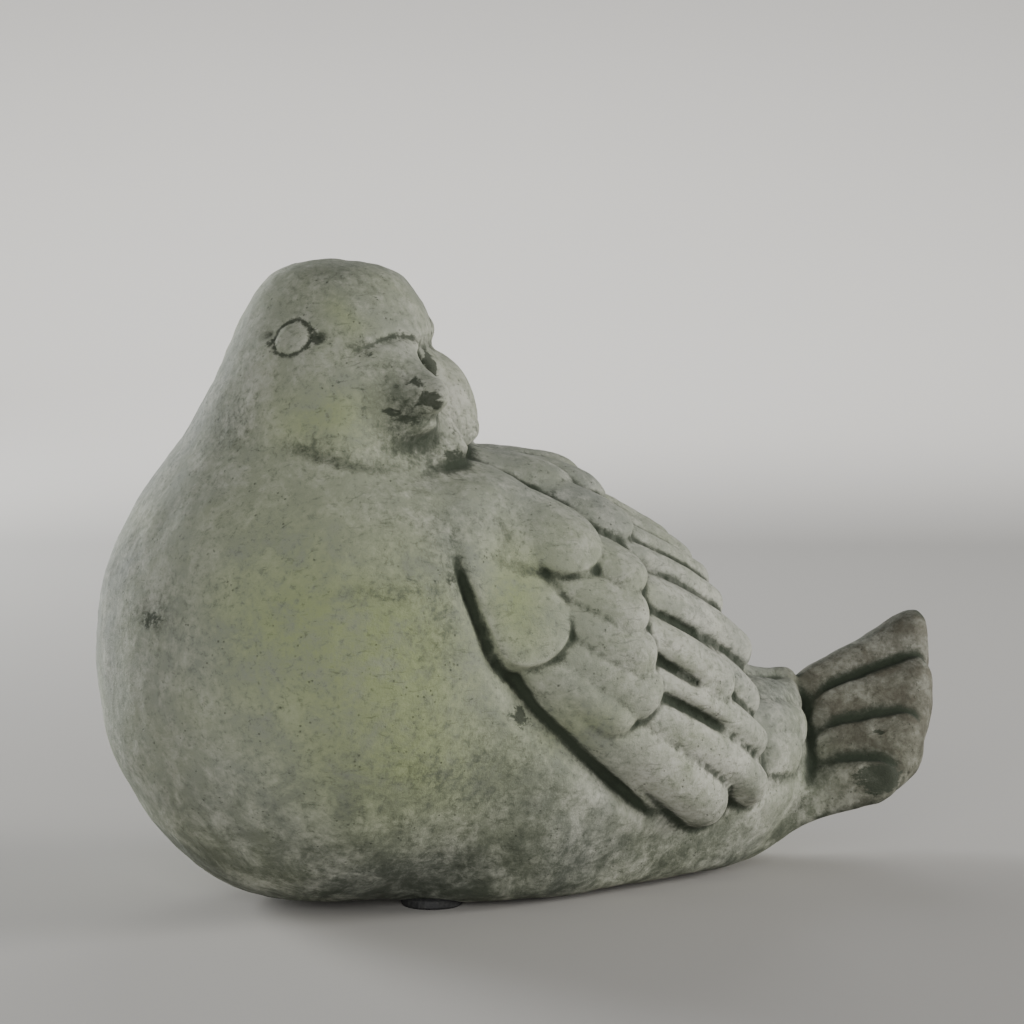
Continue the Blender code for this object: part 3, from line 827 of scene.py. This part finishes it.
def new_material(name):
    """A material, its node tree and its shader."""
    made = bpy.data.materials.new(name)
    made.use_nodes = True
    return made, made.node_tree, made.node_tree.nodes["Principled BSDF"]


def wear(piece, material):
    """A piece dressed in one material only."""
    piece.data.materials.clear()
    piece.data.materials.append(material)


sandy_grain = grain_group()

CEMENT_MID = (0.245, 0.263, 0.192, 1)
CEMENT_PALE = (0.450, 0.448, 0.385, 1)
CEMENT_BLUE = (0.208, 0.221, 0.186, 1)
CEMENT_OLIVE = (0.235, 0.274, 0.124, 1)
# Near-black, for grime and for painted shade
GRIME_AND_SHADE = (0.030, 0.037, 0.024, 1)
TAIL_BROWN_AND_SHADE = (0.088, 0.080, 0.058, 1)
# Near-black green, for moss and for painted shade in the deepest hollows
MOSS_AND_SHADE = (0.024, 0.032, 0.019, 1)

# How many times each noise repeats in a metre
BROAD_SCALE = 30.0
BLOTCH_SCALE = 120.0
FINE_SCALE = 620.0
STREAK_SCALE = 900.0
GRAIN_SCALE = 2600.0


def line_on(tree, name, rough, half, edge):
    """1 along a face line, whose signed distance is kept on the mesh, and 0 beyond it."""
    off = maths(tree, "ABSOLUTE", maths(tree, "SUBTRACT", attribute(tree, name), 0.5))
    off = plus(tree, times(tree, off, LINE_SPAN), rough)
    return ramp(tree, off, half, half + edge, 1.0, 0.0)


def streaked(tree, place, scale, turn):
    """Noise drawn out along one direction, as a brush or a wiped cloth leaves it."""
    mapping = node(tree, "ShaderNodeMapping", {
        "Vector": place, "Rotation": (0.3, turn, 0.5), "Scale": (scale * 0.22, scale, scale)})
    return noise(tree, mapping.outputs["Vector"], 1.0, 5.0, 0.7, 0.8)


def cement():
    """Grey-green cement, stained by the values kept on the mesh, which also give it painted light
    and painted shade.
    """
    made, tree, shader = new_material("weathered_cement")
    place = node(tree, "ShaderNodeTexCoord").outputs["Object"]
    broad = noise(tree, place, BROAD_SCALE, 5.0, 0.6, 0.4)
    blotch = noise(tree, place, BLOTCH_SCALE, 7.0, 0.68, 0.5)
    fine = noise(tree, place, FINE_SCALE, 6.0, 0.75, 0.3)
    streak = streaked(tree, place, STREAK_SCALE, 0.6)
    hollow = attribute(tree, "hollow")

    # The cement itself: cool and warm grey, with pale lime where it is bare, olive algae, painted
    # light and painted shade
    colour = tint(tree, ramp(tree, broad, 0.38, 0.62), CEMENT_BLUE, CEMENT_MID)
    bare = plus(tree, times(tree, blotch, 0.6), times(tree, fine, 0.4))
    colour = tint(tree, ramp(tree, bare, 0.48, 0.64, 0.0, 0.6), colour, CEMENT_PALE)
    # Painted light: the pale patches lighten the cement where light falls
    pale = times(tree, attribute(tree, "pale"), ramp(tree, bare, 0.36, 0.60))
    colour = tint(tree, pale, colour, CEMENT_PALE)
    olive = times(tree, attribute(tree, "olive"), ramp(tree, bare, 0.36, 0.54))
    colour = tint(tree, times(tree, olive, 0.85), colour, CEMENT_OLIVE)
    # Browner and darker towards the tail: partly its own browner cement, partly painted shade
    brown_and_shade = ramp(tree, bare, 0.62, 0.44, 0.42, 0.95)
    colour = tint(tree, times(tree, attribute(tree, "tailward"), brown_and_shade), colour, TAIL_BROWN_AND_SHADE)
    # Raised edges lighter: rubbed wear, and a painted highlight
    wear_and_highlight = times(tree, attribute(tree, "ridge"), ramp(tree, blotch, 0.40, 0.55))
    colour = tint(tree, times(tree, wear_and_highlight, 0.55), colour, CEMENT_PALE)

    # Dirt and painted shade: fine specks, brushed streaks, painted shade below, smudges, and grime
    # with painted shade in the hollows
    colour = tint(tree, ramp(tree, fine, 0.45, 0.36, 0.0, 0.3), colour, GRIME_AND_SHADE)
    colour = tint(tree, ramp(tree, streak, 0.42, 0.33, 0.0, 0.35), colour, GRIME_AND_SHADE)
    # Painted shade, darker towards the bottom of the bird, broken up by blotches
    low = times(tree, attribute(tree, "shade_below"), ramp(tree, blotch, 0.62, 0.40))
    colour = tint(tree, times(tree, low, 0.8), colour, GRIME_AND_SHADE)
    # Smudges of dirt, and painted shade in creases, grooves and under the bird, broken up by fine
    # noise
    fine_breakup = ramp(tree, fine, 0.60, 0.44, 0.25, 1.0)
    colour = tint(tree, times(tree, attribute(tree, "smudge_and_shade"), fine_breakup), colour, GRIME_AND_SHADE)
    # Painted shade in the hollows, laid with grime: the more shut in a point is, the darker it
    # gets, near-black green in the deepest
    ragged = plus(tree, hollow, ramp(tree, fine, 0.3, 0.7, 0.06, -0.06))
    colour = tint(tree, ramp(tree, ragged, 0.08, 0.24, 0.0, 0.72), colour, GRIME_AND_SHADE)
    colour = tint(tree, ramp(tree, ragged, 0.20, 0.38, 0.0, 0.92), colour, MOSS_AND_SHADE)

    # Crisp dark marks: painted shade along the face's thin creases, crumbly patches, and holes with
    # painted shade in them
    rough = ramp(tree, fine, 0.35, 0.65, -0.35, 0.35)
    # Painted shade along the grooves round the eyes and along the brow crease
    ring = line_on(tree, "ring", rough, 0.20, 0.45)
    colour = tint(tree, times(tree, ring, 0.85), colour, GRIME_AND_SHADE)
    brow = times(tree, line_on(tree, "brow", rough, 0.25, 0.55), attribute(tree, "facing"))
    colour = tint(tree, times(tree, brow, 0.85), colour, GRIME_AND_SHADE)
    # Crumbly cement, and painted shade in holes, corners, the slit and the chip
    crumbs_and_shade = plus(tree, times(tree, bare, 0.5), times(tree, streak, 0.5))
    crumbs_and_shade = plus(tree, attribute(tree, "mark"), ramp(tree, crumbs_and_shade, 0.36, 0.64, 0.50, -0.50))
    colour = tint(tree, ramp(tree, crumbs_and_shade, 0.38, 0.62, 0.0, 0.85), colour, GRIME_AND_SHADE)

    # Pinholes with painted shade in them, then the relief of the grain and of the streaks
    grain = placed(tree, sandy_grain, {"Place": place, "Grain": GRAIN_SCALE})
    colour = tint(tree, times(tree, grain.outputs["Pinholes"], 0.5), colour, GRIME_AND_SHADE)
    tree.links.new(colour, shader.inputs["Base Color"])
    tree.links.new(ramp(tree, blotch, 0.3, 0.7, 0.86, 0.97), shader.inputs["Roughness"])
    relief = plus(tree, grain.outputs["Height"], times(tree, streak, 0.4))
    bump = node(tree, "ShaderNodeBump", {
        "Strength": 0.65, "Distance": 0.0005, "Height": relief})
    tree.links.new(bump.outputs["Normal"], shader.inputs["Normal"])
    shader.inputs["Specular IOR Level"].default_value = 0.3
    return made


cast_bird = make_bird()
wear(cast_bird, cement())
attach(cast_bird, "root")
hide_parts("cement_bird")


# The rubber pads
# Three round black stick-on bumpers, punched from soft rubber sheet and pressed into shallow
# seats in the underside.

RUBBER = (0.012, 0.012, 0.013, 1)
DUST = (0.08, 0.08, 0.07, 1)


def rubber():
    """Matt black rubber with cement dust on it."""
    made, tree, shader = new_material("black_rubber")
    place = node(tree, "ShaderNodeTexCoord").outputs["Object"]
    dust = ramp(tree, noise(tree, place, 1500, 5.0, 0.6), 0.45, 0.75, 0.0, 0.35)
    tree.links.new(tint(tree, dust, RUBBER, DUST), shader.inputs["Base Color"])
    grain = placed(tree, sandy_grain, {"Place": place, "Grain": 5000.0})
    bump = node(tree, "ShaderNodeBump", {
        "Strength": 0.25, "Distance": 0.0002, "Height": grain.outputs["Height"]})
    tree.links.new(bump.outputs["Normal"], shader.inputs["Normal"])
    shader.inputs["Roughness"].default_value = 0.62
    return made


pad_rubber = rubber()
for name in ("pad_near", "pad_far", "pad_tail_end"):
    wear(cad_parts[name], pad_rubber)


# The studio
# A plain pale floor that sweeps up behind the bird. Soft lamps stand low to the right, in front
# and behind, as daylight falls through windows, and one more lights the backdrop.

FLOOR_RINGS = (0.4, 0.8, 1.3)
FLOOR_SIDES = 96
FLOOR_COLOUR = (0.50, 0.485, 0.46, 1)
SWEEP_RADIUS = 2.6
SWEEP_STEPS = 16
SWEEP_TURN = 80


def grown_ring(bm, edges, wider, rise):
    """One more ring around the floor, this many times as wide and this much higher."""
    grown = bmesh.ops.extrude_edge_only(bm, edges=edges)["geom"]
    rim = [item for item in grown if isinstance(item, bmesh.types.BMVert)]
    bmesh.ops.scale(bm, verts=rim, vec=(wider, wider, 1))
    bmesh.ops.translate(bm, verts=rim, vec=(0, 0, rise))
    return [item for item in grown if isinstance(item, bmesh.types.BMEdge)]


def make_floor():
    """A flat round floor whose rim sweeps up, so that no edge or corner shows behind the bird."""
    bm = bmesh.new()
    bmesh.ops.create_circle(bm, segments=FLOOR_SIDES, radius=FLOOR_RINGS[0], cap_ends=True)
    edges = [edge for edge in bm.edges if edge.is_boundary]
    for inner, outer in zip(FLOOR_RINGS, FLOOR_RINGS[1:]):
        edges = grown_ring(bm, edges, outer / inner, 0)
    turns = np.radians(np.linspace(0, SWEEP_TURN, SWEEP_STEPS + 1))
    reach = FLOOR_RINGS[-1] + SWEEP_RADIUS * np.sin(turns)
    height = SWEEP_RADIUS * (1 - np.cos(turns))
    for wider, rise in zip(reach[1:] / reach[:-1], np.diff(height)):
        edges = grown_ring(bm, edges, wider, rise)
    bmesh.ops.recalc_face_normals(bm, faces=bm.faces)
    mesh = bpy.data.meshes.new("studio_floor")
    bm.to_mesh(mesh)
    bm.free()
    mesh.shade_smooth()
    surface, _, shader = new_material("pale_floor")
    shader.inputs["Base Color"].default_value = FLOOR_COLOUR
    shader.inputs["Roughness"].default_value = 1.0
    shader.inputs["Specular IOR Level"].default_value = 0.0
    mesh.materials.append(surface)
    return linked("studio_floor", mesh)


make_floor()

world = bpy.data.worlds.new("soft_room")
bpy.context.scene.world = world
world.use_nodes = True
sky = world.node_tree.nodes["Background"]
sky.inputs["Color"].default_value = (0.80, 0.82, 0.85, 1)
sky.inputs["Strength"].default_value = 0.24

WARM = (1, 0.985, 0.96)
WHITE = (1, 1, 1)
COOL = (0.97, 0.99, 1)


def soft_light(name, place, aim, size, watts, colour):
    """A round area lamp turned towards its aim."""
    data = bpy.data.lights.new(name, "AREA")
    data.shape = "DISK"
    data.size = size
    data.energy = watts
    data.color = colour
    made = linked(name, data)
    made.location = place
    made.rotation_euler = (Vector(aim) - Vector(place)).to_track_quat("-Z", "Y").to_euler()


middle = (cad_box[0] + cad_box[1]) / 2
soft_light("window_right", (1.00, -0.46, 0.24), middle, 0.50, 14, WARM)
soft_light("window_front", (-0.66, -1.10, 0.28), middle, 0.80, 11, WHITE)
soft_light("rim_left", (-0.42, 1.05, 0.26), middle, 0.45, 21, COOL)
soft_light("rim_back", (0.90, 1.90, 1.20), middle, 0.80, 9, COOL)
soft_light("backdrop", (0.30, 0.90, 1.30), (1.20, 2.60, 0.90), 1.2, 55, WHITE)

# The camera stands low on the breast's side of the bird, at the photograph's angle
VIEW_TURN = -27.0
VIEW_RISE = 5.5
VIEW_DISTANCE = 0.8
AIM_SHARES = (0.0, 0.0, 77.0)
LENS = 135.0
SENSOR = 36.0

aim = Vector(AIM_SHARES) - Vector((ORIGIN_X, 0, UNDERSIDE_CUT))
aim = aim * SHARE + Vector((0, 0, UNDERSIDE))
turn, rise = np.radians(VIEW_TURN), np.radians(VIEW_RISE)
back = Vector((np.sin(turn) * np.cos(rise), -np.cos(turn) * np.cos(rise), np.sin(rise)))
lens = bpy.data.cameras.new("photo_view")
lens.lens = LENS
lens.sensor_width = SENSOR
camera = linked("photo_view", lens)
camera.location = aim + back * VIEW_DISTANCE
camera.rotation_euler = back.to_track_quat("Z", "Y").to_euler()
bpy.context.scene.camera = camera
